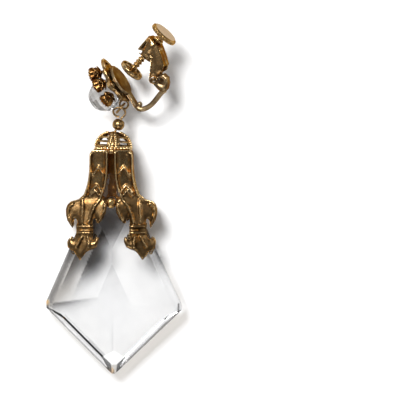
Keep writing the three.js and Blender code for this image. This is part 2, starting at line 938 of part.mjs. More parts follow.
function makeClipBase() {
  const back = sheet + gap;
  const face = back + base.thickness;
  const disc = rod(base.discRadius, back, face, 20);
  const boss = rod(base.bossRadius, base.bossStart, back + base.thickness / 2, 12);
  const foot = boxAt(base.thickness, base.footLength, base.footWidth, (back + face) / 2, -base.footLength / 2, 0);
  const hoopLine = HOOP_PATH.map(([x, y]) => [x * hinge.x, y * hinge.x, 0]);
  const hoop = wire(hoopLine, base.wireRadius, 16, 10);
  const stub = ball(base.stubRadius, base.stubX, base.stubY, 0, 10);
  const footEnd = [(back + face) / 2, base.stubRoot - base.footLength, 0];
  const stubRoot = wire([footEnd, [base.stubX, base.stubY, 0]], base.stubRoot, 1);
  const outline = EAR_OUTLINE.map(([x, y]) => [x * bracketDepth, y * bracketDepth]);
  const pinHole = ringPoints(0, 0, hinge.pinRadius + gap, 12);
  const hollow = ringPoints(0.33 * bracketDepth, -0.34 * bracketDepth, 0.2 * bracketDepth, 12);
  const outside = base.bracketHalfWidth;
  const inside = outside - base.earThickness;
  const nearEar = prism(outline, inside, outside, [pinHole, hollow]);
  const farEar = prism(outline, -outside, -inside, [pinHole]);
  const wallPoints = outline.slice(3, 8).map(([x, y]) => [x * 0.93, y * 0.94]);
  const wall = prism(band(wallPoints, base.wall), -outside + 0.05, outside - 0.05);
  const bracket = joined([nearEar, farEar, wall]).translate([hinge.x, hinge.y, 0]);
  return piece("clip_base", joined([disc, boss, foot, hoop, stub, stubRoot, bracket]), brass);
}

function makeHingePin() {
  const reach = paddle.halfWidth + 0.1;
  const pinShape = rod(hinge.pinRadius, -reach, reach, 10);
  return piece("hinge_pin", moved(pinShape, alongX([0, 0, 1], [hinge.x, hinge.y, 0])), brass);
}

function makePaddle() {
  const scale = paddle.axisHeight;
  const shape = (outline) => outline.map(([x, y]) => [x * scale, y * scale]);
  const outer = paddle.halfWidth;
  const pinHole = ringPoints(0, 0, hinge.pinRadius + gap, 12);
  const near = prism(shape(FLANGE_OUTLINE), outer - paddle.flange, outer, [pinHole]);
  const far = prism(shape(FLANGE_OUTLINE), -outer, paddle.flange - outer, [pinHole]);
  const back = prism(shape(BACK_OUTLINE), -outer, outer);
  const radius = paddle.sleeveRadius;
  const sleeve = turned(
    [
      [radius - paddle.sleeveWall, paddle.sleeveStart],
      [radius, paddle.sleeveStart],
      [radius + 0.1, paddle.faceX - 0.2],
      [radius - paddle.sleeveWall, paddle.faceX - 0.2],
    ],
    16,
  );
  const nut = rod(radius - 0.1, paddle.faceX - paddle.nutLength, paddle.faceX, 16);
  const { windowWidth, windowHeight, windowX, windowOut } = paddle;
  const windowCut = boxAt(windowWidth, windowHeight, windowHeight, windowX, windowOut, windowOut);
  const windowTurn = new THREE.Matrix4().makeRotationZ(radians(paddle.windowTurn));
  const bored = cut(joined([sleeve, nut]), [
    moved(windowCut, windowTurn),
    rod(screw.major + gap, 0, 2 * paddle.faceX, 12),
  ]);
  const around = bored.translate([0, paddle.axisHeight, 0]);
  const parts = [near, far, back, around];
  for (let i = 0; i < paddle.beads; i++) {
    const share = (i + 0.5) / paddle.beads;
    const x = (0.78 + share * 0.4) * scale;
    const y = (0.07 + share * 0.74) * scale;
    parts.push(ball(paddle.beadRadius, x, y, 0, 7));
  }
  const boreThrough = rod(screw.major + gap, 0, 2 * paddle.faceX, 12).translate([0, paddle.axisHeight, 0]);
  return piece("clip_paddle", cut(joined(parts), [boreThrough]), brass);
}

function makeThumbScrew() {
  const profile = [[0, screw.tip]];
  profile.push([screw.minor, screw.tip]);
  for (let x = screw.tip + screw.pitch; x < screw.collarStart - screw.pitch / 2; x += screw.pitch) {
    profile.push([screw.minor, x - screw.root * screw.pitch]);
    profile.push([screw.major, x - screw.crest * screw.pitch]);
    profile.push([screw.major, x + screw.crest * screw.pitch]);
    profile.push([screw.minor, x + screw.root * screw.pitch]);
  }
  profile.push([screw.minor, screw.collarStart]);
  profile.push([screw.collarRadius, screw.collarStart]);
  profile.push([screw.collarRadius, screw.collarStart + screw.collarHeight]);
  profile.push([screw.neckRadius, screw.collarStart + 1.4 * screw.collarHeight]);
  profile.push([1.2 * screw.neckRadius, screw.collarStart + screw.collarHeight + screw.neckFlare]);
  profile.push([screw.neckRadius, screw.discStart]);
  profile.push([screw.neckRadius, screw.discStart + 1.5 * screw.crownStart]);
  profile.push([0, screw.discStart + 1.5 * screw.crownStart]);
  const shaft = turned(profile, 12);
  const rim = Array.from({ length: 2 * screw.knurls }, (_, i) => {
    const angle = (Math.PI * i) / screw.knurls;
    const radius = screw.discRadius - (i % 2 ? screw.knurlDepth : 0);
    return [radius * Math.cos(angle), radius * Math.sin(angle)];
  });
  const edge = prism(rim, 0, 0.7 * screw.discThickness);
  const stand = alongX([0, 0, 1]).invert();
  const knurled = moved(edge, stand).translate([screw.discStart, 0, 0]);
  const top = screw.discStart + screw.discThickness;
  const crown = turned(
    [
      [0, screw.discStart + screw.crownStart],
      [screw.discRadius - screw.crownStart, screw.discStart + screw.crownStart],
      [screw.discRadius - screw.crownStart, top - screw.crownEdge],
      [screw.discRadius - 2 * screw.crownEdge, top],
      [0, top],
    ],
    28,
  );
  const whole = joined([shaft, knurled, crown]).translate([0, paddle.axisHeight, 0]);
  return piece("thumb_screw", whole, paleBrass);
}

function makePad() {
  const front = pad.front;
  const back = front + pad.floor;
  const lip = front + pad.rimHeight;
  const dish = turned(
    [
      [0, front],
      [pad.radius - pad.bevel, front],
      [pad.radius - 0.16 * pad.bevel, front + pad.bevel / 2],
      [pad.radius, front + 1.2 * pad.bevel],
      [pad.radius, lip - pad.rimRound],
      [pad.radius - pad.rimWidth / 2, lip],
      [pad.radius - pad.rimWidth, lip - pad.rimRound],
      [pad.radius - pad.rimWidth, back + pad.fillet / 2],
      [pad.radius - pad.rimWidth - pad.fillet, back],
      [0, back],
    ],
    20,
  );
  const hubInner = screw.minor + gap;
  const hub = turned(
    [
      [hubInner, back - pad.floor / 4],
      [hubInner + pad.hubWall, back - pad.floor / 4],
      [hubInner + pad.hubWall, back + pad.hub],
      [hubInner, back + pad.hub],
    ],
    12,
  );
  const whole = joined([dish, hub]).translate([0, paddle.axisHeight, 0]);
  return piece("screw_pad", whole, brass);
}

// The drop lies on its back arms and on the crystal's lowest corner, so its top end is raised
const dropTilt = 3.1;
const dropPlace = [0, -23.57, 4.95];
const clipPlace = [0.4, 25.5, 6.1];
const drop = new THREE.Group();
drop.add(makeCrystal(), makeCap(), makeCrystalPin(), makeDome(), makeBead(), makeEyePin(), makeLinkRing());
drop.rotation.x = radians(dropTilt);
drop.position.set(...dropPlace);

const clip = new THREE.Group();
clip.add(makeFlowerPlate(), makeStone(), ...FLORETS.map(makeFloret), makeClipBase(), makeHingePin());
const moving = new THREE.Group();
moving.add(makePaddle(), makeThumbScrew(), makePad());
moving.position.set(hinge.x, hinge.y, 0);
moving.rotation.z = radians(paddle.closing);
clip.add(moving);
clip.rotation.set(0, radians(-clipTilt), radians(clipTurn), "ZYX");
clip.position.set(...clipPlace);

// The origin is the bottom centre of everything built
const group = new THREE.Group();
group.name = "chandelier_earring";
group.add(drop, clip);
group.updateMatrixWorld(true);
const bounds = new THREE.Box3().setFromObject(group, true);
const centre = bounds.getCenter(new THREE.Vector3());
group.position.set(-centre.x, -centre.y, -bounds.min.z);

export default group;
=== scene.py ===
# A chandelier clip earring lying on a white table, seen from straight above.
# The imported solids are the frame: each is given a cast, drawn or cut surface of its own here.
import json
import math

import bmesh
import bpy
import numpy as np
from mathutils import Matrix, Vector
from mathutils.kdtree import KDTree


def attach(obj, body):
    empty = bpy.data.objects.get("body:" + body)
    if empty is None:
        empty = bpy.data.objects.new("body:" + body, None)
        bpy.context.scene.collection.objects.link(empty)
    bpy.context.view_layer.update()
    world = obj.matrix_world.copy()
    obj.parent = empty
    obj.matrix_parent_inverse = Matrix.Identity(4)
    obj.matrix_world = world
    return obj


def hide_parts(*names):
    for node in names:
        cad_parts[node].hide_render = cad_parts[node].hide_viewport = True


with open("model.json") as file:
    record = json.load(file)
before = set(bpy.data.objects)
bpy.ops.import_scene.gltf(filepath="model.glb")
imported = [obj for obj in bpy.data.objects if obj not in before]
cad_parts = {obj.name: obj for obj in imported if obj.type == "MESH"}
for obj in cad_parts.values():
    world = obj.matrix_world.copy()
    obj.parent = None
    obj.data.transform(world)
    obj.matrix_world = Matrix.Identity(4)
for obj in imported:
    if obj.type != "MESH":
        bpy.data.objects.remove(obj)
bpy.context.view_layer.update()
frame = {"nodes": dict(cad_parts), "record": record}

MM = 0.001

# Camera and table
PIXEL = 0.22 * MM  # what one pixel of the photograph covers at the focus height
IMAGE = 416
SENSOR = 36
CAMERA_HEIGHT = 0.62
FOCUS_HEIGHT = 6 * MM
NEAREST = 0.01
VIEW_CENTRE = (20.72 * MM, -1.98 * MM)
TABLE_HALF = 1.2
TABLE_DROP = 0.02 * MM
TABLE_ROUGHNESS = 0.75
TABLE_WHITES = [(0.35, (0.93, 0.93, 0.93)), (0.65, (0.95, 0.95, 0.95))]
TABLE_PATCH_MM = 60

# Lights: name, place, width and height, and power
LIGHTS = [
    ("key", (-0.19, 0.28, 0.64), (0.24, 0.24), 6),
    ("fill", (0.5, 0.12, 0.36), (0.12, 0.5), 0.7),
    ("front", (-0.1, -0.5, 0.4), (0.4, 0.12), 0.7),
]

# The studio's grey from the horizon up, and how bright it is at its left and at its right
STUDIO = [(0.0, 0.25), (0.3, 0.3), (0.55, 0.2), (0.8, 0.12), (1.0, 0.1)]
STUDIO_BLUE = 1.01
STUDIO_LEFT, STUDIO_RIGHT = 1.25, 0.6

# Where the drop and the clip lie: place in mm and turns in degrees. Unless they say otherwise,
# the sizes below are in mm and in one of these two frames.
DROP_PLACE, DROP_TILT = (-0.0045, -23.746, 4.8256), 3.1
CLIP_PLACE, CLIP_TURN, CLIP_TILT = (0.3955, 25.324, 5.9756), 32, -18
DROP = Matrix.Translation(Vector(DROP_PLACE) * MM) @ Matrix.Rotation(math.radians(DROP_TILT), 4, "X")
CLIP = (Matrix.Translation(Vector(CLIP_PLACE) * MM)
        @ Matrix.Rotation(math.radians(CLIP_TURN), 4, "Z")
        @ Matrix.Rotation(math.radians(CLIP_TILT), 4, "Y"))
EARRING = Matrix.Identity(4)

body_of_node = {}
for body, names in frame["record"]["behaviour"]["bodies"].items():
    for node_name in names:
        body_of_node[node_name] = body
slot_of_node = {part["node"]: part["material_slot"] for part in frame["record"]["subparts"]}


# Node helpers

def set_stops(ramp, stops):
    """Gives a colour ramp its stops, each a position and a colour."""
    elements = ramp.color_ramp.elements
    while len(elements) < len(stops):
        elements.new(0.5)
    for element, (at, colour) in zip(elements, stops):
        element.position = at
        element.color = (*colour, 1)


def set_range(node, low, high, to_low, to_high):
    for socket, number in (("From Min", low), ("From Max", high), ("To Min", to_low), ("To Max", to_high)):
        node.inputs[socket].default_value = number


class Nodes:
    """Builds a material's nodes with few words."""

    def __init__(self, name):
        self.material = bpy.data.materials.new(name)
        self.material.use_nodes = True
        self.tree = self.material.node_tree
        self.shader = self.tree.nodes["Principled BSDF"]
        self.place = self.add("ShaderNodeTexCoord").outputs["Object"]

    def add(self, kind, **settings):
        node = self.tree.nodes.new(kind)
        for key, value in settings.items():
            setattr(node, key, value)
        return node

    def join(self, output, socket):
        self.tree.links.new(output, socket)

    def painted(self, name):
        """A value painted on the mesh, which is 0 where the mesh has none."""
        return self.add("ShaderNodeAttribute", attribute_name=name).outputs["Fac"]

    def noise(self, size_mm, detail=4, rough=0.55):
        node = self.add("ShaderNodeTexNoise")
        node.inputs["Scale"].default_value = 1 / (size_mm * MM)
        node.inputs["Detail"].default_value = detail
        node.inputs["Roughness"].default_value = rough
        self.join(self.place, node.inputs["Vector"])
        return node.outputs["Fac"]

    def stretch(self, value, low, high, to_low=0.0, to_high=1.0):
        node = self.add("ShaderNodeMapRange", clamp=True)
        set_range(node, low, high, to_low, to_high)
        self.join(value, node.inputs["Value"])
        return node.outputs["Result"]

    def ramp(self, value, stops):
        node = self.add("ShaderNodeValToRGB")
        set_stops(node, stops)
        self.join(value, node.inputs["Fac"])
        return node.outputs["Color"]

    def blend(self, kind, amount, first, second):
        node = self.add("ShaderNodeMix", data_type="RGBA", blend_type=kind)
        if isinstance(amount, float):
            node.inputs["Factor"].default_value = amount
        else:
            self.join(amount, node.inputs["Factor"])
        colours = [s for s in node.inputs if s.type == "RGBA"]
        for socket, value in zip(colours, (first, second)):
            if isinstance(value, tuple):
                socket.default_value = (*value, 1)
            else:
                self.join(value, socket)
        return [s for s in node.outputs if s.type == "RGBA"][0]

    def maths(self, kind, first, second):
        node = self.add("ShaderNodeMath", operation=kind)
        for socket, value in zip(node.inputs, (first, second)):
            if isinstance(value, (int, float)):
                socket.default_value = value
            else:
                self.join(value, socket)
        return node.outputs["Value"]

    def drift(self, value, amount):
        """A noise's swing about its middle."""
        return self.maths("MULTIPLY", self.maths("SUBTRACT", value, 0.5), amount)

    def bump(self, height, depth_mm, strength=1.0):
        node = self.add("ShaderNodeBump")
        node.inputs["Distance"].default_value = depth_mm * MM
        node.inputs["Strength"].default_value = strength
        self.join(height, node.inputs["Height"])
        self.join(node.outputs["Normal"], self.shader.inputs["Normal"])


# Materials

# What all brass shares: the sizes of its patches, and the colours of the cap's dull inside with its
# painted warm reflected light, of a dull pale face, and of metal seen at a grazing angle
PATCH_MM, GLOW_MM = 1.7, 1.0
INSIDE_DARK, INSIDE_WARM_LIGHT = (0.22, 0.09, 0.02), (0.75, 0.36, 0.1)
DULL_DARK, DULL_PALE = (0.55, 0.42, 0.28), (0.78, 0.64, 0.47)
GRAZING = (0.3, 0.19, 0.1, 1)
INSIDE_METAL = 0.3
PLAIN_ROUGHER = 0.25
PATCH_SWING = 0.6
DEEP_AT, MIDDLE_AT, HIGH_AT = 0.2, 0.5, 0.8
GLOW_NOISE, GLOW_RELIEF = (0.5, 0.62), (0.52, 0.3)
DULL_GRAIN = (0.35, 0.7)
GRAIN_WEAR, WORN = -0.5, (-0.1, 0.55)


def brass(name, deep, middle, high, ember, grain_mm=0.28, grain_depth=0.03, rough=(0.16, 0.4)):
    """Cast brass: dark in the recesses with ember patches, rubbed bright on the high parts.

    Painted values steer it: relief is how proud a place stands, low darkens it, inside makes
    it a dull inside painted with warm reflected light, and plain a pale dull face.
    """
    m = Nodes(name)
    relief, low, inside, plain = [m.painted(word) for word in ("relief", "low", "inside", "plain")]
    patches = m.noise(PATCH_MM, 5, 0.6)
    grain = m.noise(grain_mm, 5, 0.6)
    level = m.maths("SUBTRACT", m.maths("ADD", relief, m.drift(patches, PATCH_SWING)), low)
    colour = m.ramp(level, [(DEEP_AT, deep), (MIDDLE_AT, middle), (HIGH_AT, high)])
    glow = m.maths("MULTIPLY", m.stretch(m.noise(GLOW_MM, 3), *GLOW_NOISE), m.stretch(relief, *GLOW_RELIEF))
    colour = m.blend("MIX", glow, colour, ember)
    # The cap's inside is dull, with painted warm reflected light in patches
    colour = m.blend("MIX", inside, colour, m.blend("MIX", patches, INSIDE_DARK, INSIDE_WARM_LIGHT))
    dull = m.blend("MIX", m.stretch(grain, *DULL_GRAIN), DULL_DARK, DULL_PALE)
    m.join(m.blend("MIX", plain, colour, dull), m.shader.inputs["Base Color"])
    m.join(m.stretch(inside, 0, 1, 1, INSIDE_METAL), m.shader.inputs["Metallic"])
    m.shader.inputs["Specular Tint"].default_value = GRAZING
    worn = m.maths("ADD", level, m.maths("MULTIPLY", grain, GRAIN_WEAR))
    polish = m.stretch(worn, *WORN, rough[1], rough[0])
    m.join(m.maths("ADD", polish, m.maths("MULTIPLY", plain, PLAIN_ROUGHER)), m.shader.inputs["Roughness"])
    m.bump(grain, grain_depth)
    return m.material


# What all glass shares: the light tints of its painted shade, the tint of a painted reflection of brass,
# and how much light it lets onto the table through its body and through its rim
BRIGHT, BRIGHTEST = (0.91, 0.912, 0.916), (0.96, 0.96, 0.96)
BRIGHT_AT = 0.93
MIRRORED_BRASS_TINT = (0.93, 0.74, 0.5)
BODY_SHADOW, RIM_SHADOW = (0.985, 0.985, 0.985), (0.5, 0.47, 0.43)
GLASS_INDEX = 1.45
CLOUD_MM, CLOUD_SWING = 5, 0.12
FROST_MM, FROST, MOST_FROST = 2.5, (0.45, 0.8), 0.03
WAVE_MM, WAVE_DEPTH, WAVE_STRENGTH = 3.5, 0.01, 0.3


def glass(name, dark, middle):
    """Clear cut glass: the facets' shade tints it, and its rim throws most of its shadow."""
    m = Nodes(name)
    shade, rim, warm = [m.painted(word) for word in ("shade", "rim", "warm")]
    stops = [(0.0, dark), (0.5, middle), (BRIGHT_AT, BRIGHT), (1.0, BRIGHTEST)]
    tint = m.ramp(m.maths("ADD", shade, m.drift(m.noise(CLOUD_MM, 3), CLOUD_SWING)), stops)
    # Where brass is mirrored in the corners, a painted reflection of it tints the glass
    tint = m.blend("MIX", warm, tint, MIRRORED_BRASS_TINT)
    m.join(m.blend("MULTIPLY", 1.0, tint, tint), m.shader.inputs["Base Color"])
    m.shader.inputs["Transmission Weight"].default_value = 1
    m.shader.inputs["IOR"].default_value = GLASS_INDEX
    m.join(m.stretch(m.noise(FROST_MM, 3), *FROST, 0.0, MOST_FROST), m.shader.inputs["Roughness"])
    m.bump(m.noise(WAVE_MM, 2), WAVE_DEPTH, WAVE_STRENGTH)
    path = m.add("ShaderNodeLightPath")
    clear = m.add("ShaderNodeBsdfTransparent")
    m.join(m.ramp(rim, [(0.0, BODY_SHADOW), (1.0, RIM_SHADOW)]), clear.inputs["Color"])
    mix = m.add("ShaderNodeMixShader")
    m.join(m.maths("MAXIMUM", path.outputs["Is Shadow Ray"], path.outputs["Is Diffuse Ray"]), mix.inputs[0])
    m.join(m.shader.outputs[0], mix.inputs[1])
    m.join(clear.outputs[0], mix.inputs[2])
    m.join(mix.outputs[0], m.tree.nodes["Material Output"].inputs["Surface"])
    return m.material


# Brass: deep, middle, high and ember colours, grain size and depth in mm, and roughness
# from polished to dull. Glass: the dark and middle tints of its painted shade.
LOOKS = {
    "antique_brass": brass("antique_brass", (0.035, 0.017, 0.005), (0.3, 0.185, 0.08),
                           (0.9, 0.66, 0.34), (0.55, 0.23, 0.045)),
    "pale_brass": brass("pale_brass", (0.07, 0.03, 0.008), (0.42, 0.25, 0.09),
                        (0.95, 0.72, 0.34), (0.6, 0.26, 0.05), 0.22, 0.02),
    "floret_brass": brass("floret_brass", (0.015, 0.006, 0.002), (0.13, 0.06, 0.018),
                          (0.68, 0.4, 0.15), (0.5, 0.18, 0.035)),
    "dull_brass": brass("dull_brass", (0.035, 0.02, 0.009), (0.25, 0.175, 0.095),
                        (0.8, 0.62, 0.36), (0.4, 0.21, 0.08), 0.35, 0.06, (0.26, 0.45)),
    "crystal_glass": glass("crystal_glass", (0.1, 0.085, 0.075), (0.46, 0.46, 0.47)),
    "stone_glass": glass("stone_glass", (0.09, 0.08, 0.07), (0.5, 0.485, 0.465)),
}

# Nodes that look other than their slot
OWN_LOOK = {
    "floret_top": "floret_brass",
    "floret_middle": "floret_brass",
    "floret_lower": "floret_brass",
    "clip_base": "dull_brass",
}


# Surfaces

CAST_RELIEF = (24, 0.22)  # passes that average the surroundings, and mm to a full relief
MADE_RELIEF = (20, 0.1)


def coordinates(mesh):
    points = np.empty(len(mesh.vertices) * 3)
    mesh.vertices.foreach_get("co", points)
    return points.reshape(-1, 3)


def normals_of(mesh):
    normals = np.empty(len(mesh.vertices) * 3)
    mesh.vertices.foreach_get("normal", normals)
    return normals.reshape(-1, 3)


def paint(mesh, name, values):
    layer = mesh.attributes.new(name, "FLOAT", "POINT")
    layer.data.foreach_set("value", values.astype(np.float32))


def evaluated(piece):
    graph = bpy.context.evaluated_depsgraph_get()
    return bpy.data.meshes.new_from_object(piece.evaluated_get(graph))


def new_piece(name, mesh):
    piece = bpy.data.objects.new(name, mesh)
    bpy.context.scene.collection.objects.link(piece)
    return piece


def melt(piece, voxel_mm, passes):
    """Melts a piece's facets and joints together and softens what comes out."""
    skin = piece.modifiers.new("skin", "REMESH")
    skin.mode = "VOXEL"
    skin.voxel_size = voxel_mm * MM
    soften = piece.modifiers.new("soften", "SMOOTH")
    soften.iterations = passes
    mesh = evaluated(piece)
    piece.modifiers.clear()
    piece.data = mesh
    mesh.shade_smooth()


def paint_relief(piece, passes, depth_mm):
    """How far each vertex stands over its surroundings: 0.5 is level, 1 a full depth proud."""
    soften = piece.modifiers.new("average", "SMOOTH")
    soften.iterations = passes
    averaged = evaluated(piece)
    piece.modifiers.clear()
    mesh = piece.data
    step = ((coordinates(mesh) - coordinates(averaged)) * normals_of(mesh)).sum(axis=1)
    bpy.data.meshes.remove(averaged)
    paint(mesh, "relief", np.clip(0.5 + step / (2 * depth_mm * MM), 0, 1))


def finish(piece, node, stands_for):
    """Gives a piece the look of a node's slot, or the node's own look, and the node's body, and hides the
    nodes it stands for.
    """
    piece.data.materials.clear()
    piece.data.materials.append(LOOKS[OWN_LOOK.get(node, slot_of_node[node])])
    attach(piece, body_of_node[node])
    if stands_for:
        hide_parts(*stands_for)


def dress(name, ending, voxel_mm, passes, sculpt=None):
    """A copy of a solid with its facets and joints melted together, which stands for it."""
    piece = new_piece(f"{name}_{ending}", frame["nodes"][name].data.copy())
    piece.data.materials.clear()
    melt(piece, voxel_mm, passes)
    if sculpt:
        sculpt(piece.data)
    paint_relief(piece, *CAST_RELIEF)
    finish(piece, name, (name,))


def in_group(mesh, group):
    """Vertices in mm and normals, both in a group's own frame."""
    turn = np.array(group.to_3x3())
    shift = np.array(group.translation)
    return (coordinates(mesh) - shift) @ turn / MM, normals_of(mesh) @ turn


def put_back(mesh, points, group):
    turn = np.array(group.to_3x3())
    shift = np.array(group.translation)
    mesh.vertices.foreach_set("co", ((points * MM) @ turn.T + shift).ravel())
    mesh.update()


def outline_gaps(points, front, outline):
    """Each front vertex, and how far it lies in plan from the nearest vertex of the outline."""
    tree = KDTree(int(outline.sum()))
    for i, (x, y, _) in enumerate(points[outline]):
        tree.insert((x, y, 0), i)
    tree.balance()
    return [(i, tree.find((points[i, 0], points[i, 1], 0))[2]) for i in np.nonzero(front)[0]]


def bell(value, middle, width):
    return math.exp(-((value - middle) / width) ** 2)


def soft(value, low, high):
    """0 at low, 1 at high and eased between them. Low may be the greater."""
    share = min(max((value - low) / (high - low), 0), 1)
    return share * share * (3 - 2 * share)


# Cap

# The crystal's upper left side, on which the arms lie: its inward direction and start
SIDE_IN = (0.9158, -0.4017)
SIDE_START = (-2.601, 29.26)
BEVEL = 1.75

# The arms: their middle line, where shanks bend into fleurs, and their outer face's heights
CAP_X, CAP_BEND = -0.45, 24.15
ARM_HEIGHT, SHEET = 2.7, 0.8
FLEUR_SLOPE, SHANK_SLOPE = 0.2073, 0.075
BEND_LENGTH = 2.8

# A front: how far up it faces, how deep it may lie and where it ends. Its outline is the upper
# part of the walls beside it.
FRONT_FACING, FRONT_DEPTH, FRONT_TOP = 0.5, 0.25, 34.2
OUTLINE_FACING, OUTLINE_FROM, OUTLINE_TO, OUTLINE_TOP = 0.45, 0.15, 0.75, 34.4

# A thin raised rim on each shank with a groove inside it: height or depth, place and width
RIM = (0.3, 0.22, 0.24)
GROOVE = (0.12, 0.85, 0.35)

# The fleurs' domed fronts: rise, fall to the outline and its reach, and how much darker they are
FLEUR_RISE, FLEUR_FALL, FLEUR_REACH = 0.24, 0.5, 0.45
FLEUR_DARKER = 0.17

# The cap's inside, seen between the shanks: its back, and the walls of the slit
BACK_LEVEL, BACK_FACING = -1.2, 0.3
SLIT_HALF, SLIT_FACING, SLIT_DEPTH = 2.2, 0.5, 0.3
INSIDE_HALF, INSIDE_START = 5, 17


def arm_level(x, y):
    """Height of a front arm's outer face over the crystal's middle plane."""
    mirrored = CAP_X - np.abs(x - CAP_X)
    across, along = mirrored - SIDE_START[0], np.minimum(y, CAP_BEND) - SIDE_START[1]
    run = across * SIDE_IN[0] + along * SIDE_IN[1]
    return ARM_HEIGHT + FLEUR_SLOPE * (run - BEVEL) + SHANK_SLOPE * np.maximum(y - CAP_BEND, 0) + SHEET


def sculpt_cap(mesh):
    """Thin raised rims on the shanks and domed petals on the fleurs, darker fleurs, and a dull inside
    painted with warm reflected light.
    """
    points, normals = in_group(mesh, DROP)
    x, y, z = points.T
    facing_up = normals[:, 2]
    depth = arm_level(x, y) - z
    front = (facing_up > FRONT_FACING) & (depth < FRONT_DEPTH) & (y < FRONT_TOP)
    outline = (np.abs(facing_up) < OUTLINE_FACING) & (depth > OUTLINE_FROM) & (depth < OUTLINE_TO)
    outline &= y < OUTLINE_TOP
    shank = np.clip((y - CAP_BEND) / BEND_LENGTH + 0.5, 0, 1)
    for i, gap in outline_gaps(points, front, outline):
        rim = RIM[0] * bell(gap, *RIM[1:]) - GROOVE[0] * bell(gap, *GROOVE[1:])
        fleur = FLEUR_RISE - FLEUR_FALL * math.exp(-gap / FLEUR_REACH)
        z[i] += shank[i] * rim + (1 - shank[i]) * fleur
    paint(mesh, "low", FLEUR_DARKER * (1 - shank) * (z > 0))
    from_middle = np.abs(x - CAP_X)
    back = (z < BACK_LEVEL) & (facing_up > BACK_FACING)
    walls = (np.abs(facing_up) < SLIT_FACING) & (from_middle < SLIT_HALF) & (depth > SLIT_DEPTH)
    # The inside seen between the shanks gets painted warm reflected light
    paint(mesh, "inside", (back | walls) & (y > INSIDE_START) & (from_middle < INSIDE_HALF))
    put_back(mesh, points, DROP)


# Clip

# The thumb screw's axis in the earring's frame, and what of its disc is the outer face
SCREW_AXIS = (0.649417, 0.699051, 0.299309)
DISC_FACING = 0.93
DISC_FACE_DEPTH = 0.35 * MM

# A flat side: how far up it faces and how near its level it lies, and the same for the middle
# of the walls beside it, which lies under that level
FLAT_FACING, FLAT_NEAR = 0.6, 0.25
WALL_FACING, WALL_NEAR, WALL_UNDER = 0.5, 0.22, 0.3


def pillow(level, depth, reach):
    """Rounds a flat side of the clip at a given height, so that it falls away to its outline."""
    def sculpt(mesh):
        points, normals = in_group(mesh, CLIP)
        z = points[:, 2]
        facing_up = normals[:, 2]
        front = (facing_up > FLAT_FACING) & (np.abs(z - level) < FLAT_NEAR)
        outline = (np.abs(facing_up) < WALL_FACING) & (np.abs(z - level + WALL_UNDER) < WALL_NEAR)
        for i, gap in outline_gaps(points, front, outline):
            z[i] -= depth * math.exp(-gap / reach)
        put_back(mesh, points, CLIP)
    return sculpt


def mark_disc(mesh):
    """Marks the thumb disc's outer face, which is dull and pale."""
    axis = np.array(SCREW_AXIS)
    along = coordinates(mesh) @ axis
    flat = (normals_of(mesh) @ axis > DISC_FACING) & (along > along.max() - DISC_FACE_DEPTH)
    paint(mesh, "plain", flat)


# Crystal

# Its corners from the left one anticlockwise, and its sides, each from a corner to the next
CORNERS = [(-15.3, 0.311), (-0.122, -15.1), (15.3, -0.311), (1.84, 29.26), (-2.6, 29.26)]
SIDES = list(zip(CORNERS, CORNERS[1:] + CORNERS[:1]))
LOWER_LEFT, LOWER_RIGHT, UPPER_RIGHT, TOP, UPPER_LEFT, TABLE = range(6)

# How each strip along a side looks: from and to how far inside, and the shade at each
STRIPS = {
    LOWER_LEFT: [(0, 0.35, 0.3, 0.5), (0.35, 1.1, 0.95, 0.75), (1.1, BEVEL, 0.95, 1),
                 (BEVEL, 2.1, 0.55, 0.75), (2.1, 20, 1, 0.95)],
    LOWER_RIGHT: [(0, 0.45, 0.08, 0.25), (0.45, 1.1, 0.7, 1), (1.1, 20, 1, 0.97)],
    UPPER_RIGHT: [(0, 0.5, 0.2, 0.5), (0.5, 1.1, 0.9, 0.8), (1.1, BEVEL, 0.6, 0.5),
                  (BEVEL, 9.9, 0.82, 0.97), (9.9, 30, 0.8, 1)],
    TOP: [(0, 30, 0.5, 0.6)],
    UPPER_LEFT: [(0, 0.45, 0.6, 0.5), (0.45, 1.3, 0.34, 0.46), (1.3, BEVEL, 0.75, 0.85),
                 (BEVEL, 4.84, 0.16, 0.86), (4.84, 9.9, 0.24, 0.9), (9.9, 30, 0.82, 1)],
    TABLE: [],
}
STRIP_REACH = 6  # a wide strip has its last shade from here on

# The table's shade, how much darker it is near the cap, and between which heights that grows
TABLE_SHADE, TABLE_DARKER, TABLE_FADE = 0.94, 0.16, (-1, 12)

# How much a side's shades fade to white, and between which heights
FADES = {
    LOWER_LEFT: (0, 0, 1),
    LOWER_RIGHT: (0, 0, 1),
    UPPER_RIGHT: (0.8, 17, 5),
    TOP: (0.55, 18, 12),
    UPPER_LEFT: (0.9, 10, 2),
    TABLE: (0, 0, 1),
}
UPPER_LEFT_BEVEL_FADE = (0.2, 12, 2)

# Shades of the back, of the rim, and of the part inside the cap
BACK_SHADE, RIM_SHADE, CAPPED_SHADE = 0.92, 0.55, 0.95
CAPPED_START = 22
DARKEST = 0.02

# A dark wedge under a line that comes in from the left corner
LINE_START, LINE_SLOPE = (-12.6, 0.9), 0.152
WEDGE_LEFT, WEDGE_RIGHT = -13.6, -1
WEDGE_DEPTH, WEDGE_REACH, WEDGE_BLUR = 0.75, 1.3, 0.4
WEDGE_FULL, WEDGE_FADE, WEDGE_INSET = 0.05, (-0.5, -12), 0.5

# The ridge that runs up from the lowest corner
RIDGE_X, RIDGE_HALF, RIDGE_DARKER = -0.1, 0.9, 0.12
RIDGE_ACROSS, RIDGE_ALONG = (-1, 0), (-2, -8)

# The cap mirrored below itself: how dark, between which heights it grows and ends, and how wide
MIRRORED, MIRRORED_RISE, MIRRORED_END, MIRRORED_ACROSS = 0.36, (12.5, 18), (24, 20), (9.5, 3)

# Slopes at which a facet counts as level, on the front, on the back and bevelled
LEVEL_SLOPE, FRONT_SLOPE, BACK_SLOPE, BEVEL_SLOPE = 0.03, 0.02, -0.2, 0.93

